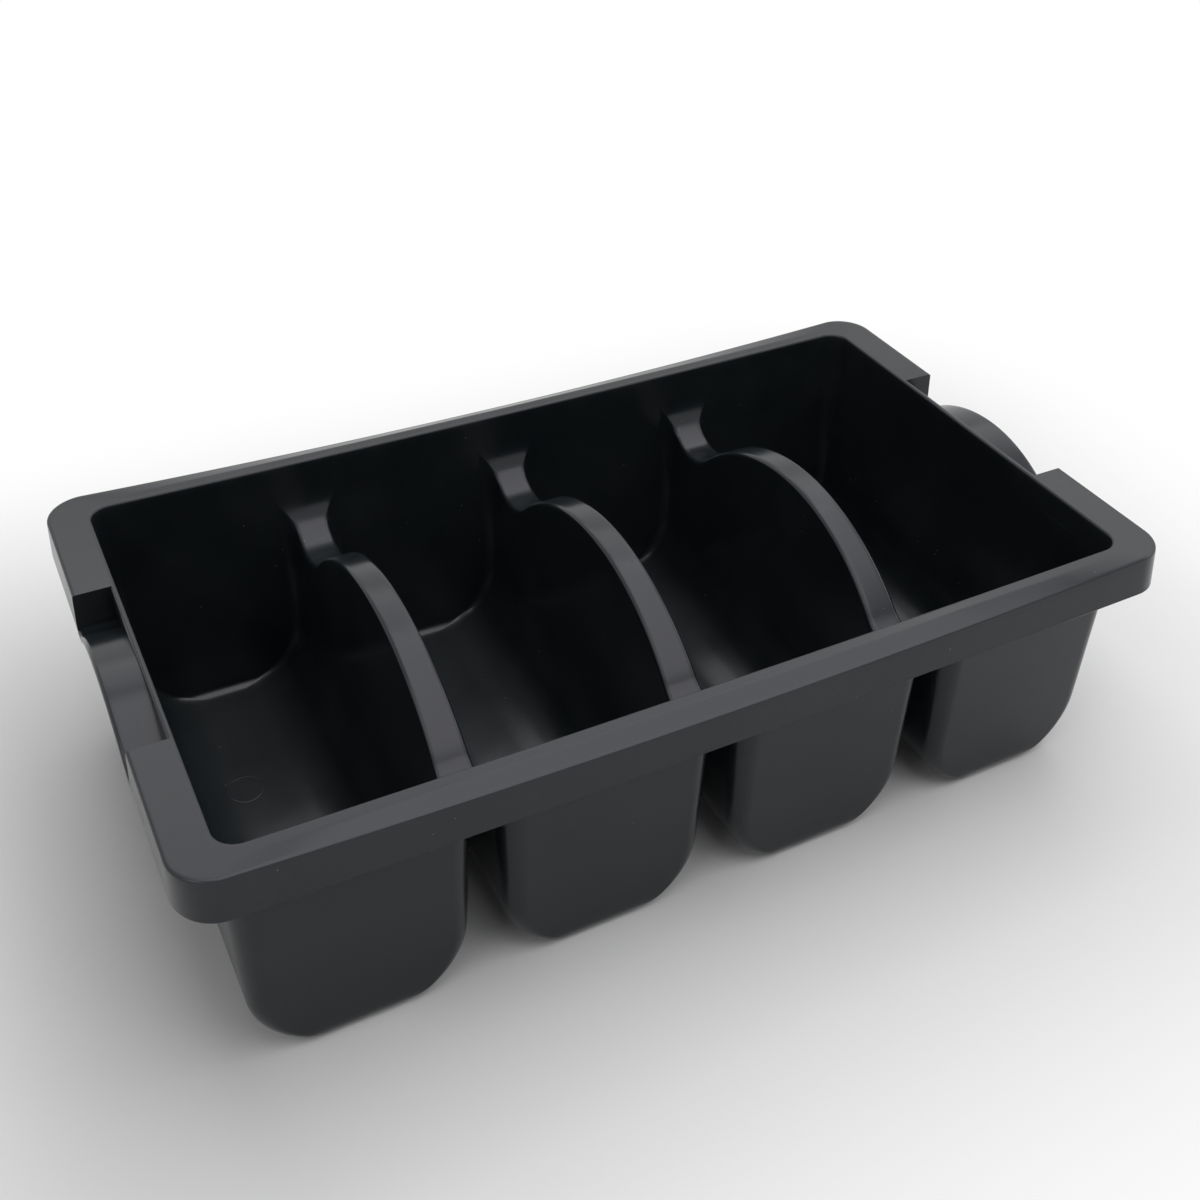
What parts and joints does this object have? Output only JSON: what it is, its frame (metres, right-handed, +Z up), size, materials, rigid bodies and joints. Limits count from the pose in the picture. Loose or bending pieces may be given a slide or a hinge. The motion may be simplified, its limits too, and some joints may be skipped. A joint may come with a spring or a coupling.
{
  "type": "cutlery organizer",
  "caption": "Open plastic cutlery box with round-bottomed compartments side by side, arched dividers between them and an arched hand grip in each end of its rim.",
  "frame": {"origin": "on the table, under the middle of the box", "axes": "+X along the row of compartments to the right, +Y to the back, +Z up"},
  "size_m": [0.525, 0.301, 0.144],
  "materials": {
    "black_plastic": "satin, finely grained"
  },
  "bodies": {
    "root": {"back_rim": "black_plastic", "front_rim": "black_plastic", "left_grip": "black_plastic", "right_grip": "black_plastic", "left_compartment": "black_plastic", "centre_left_compartment": "black_plastic", "centre_right_compartment": "black_plastic", "right_compartment": "black_plastic", "left_divider": "black_plastic", "middle_divider": "black_plastic", "right_divider": "black_plastic"}
  },
  "joints": []
}
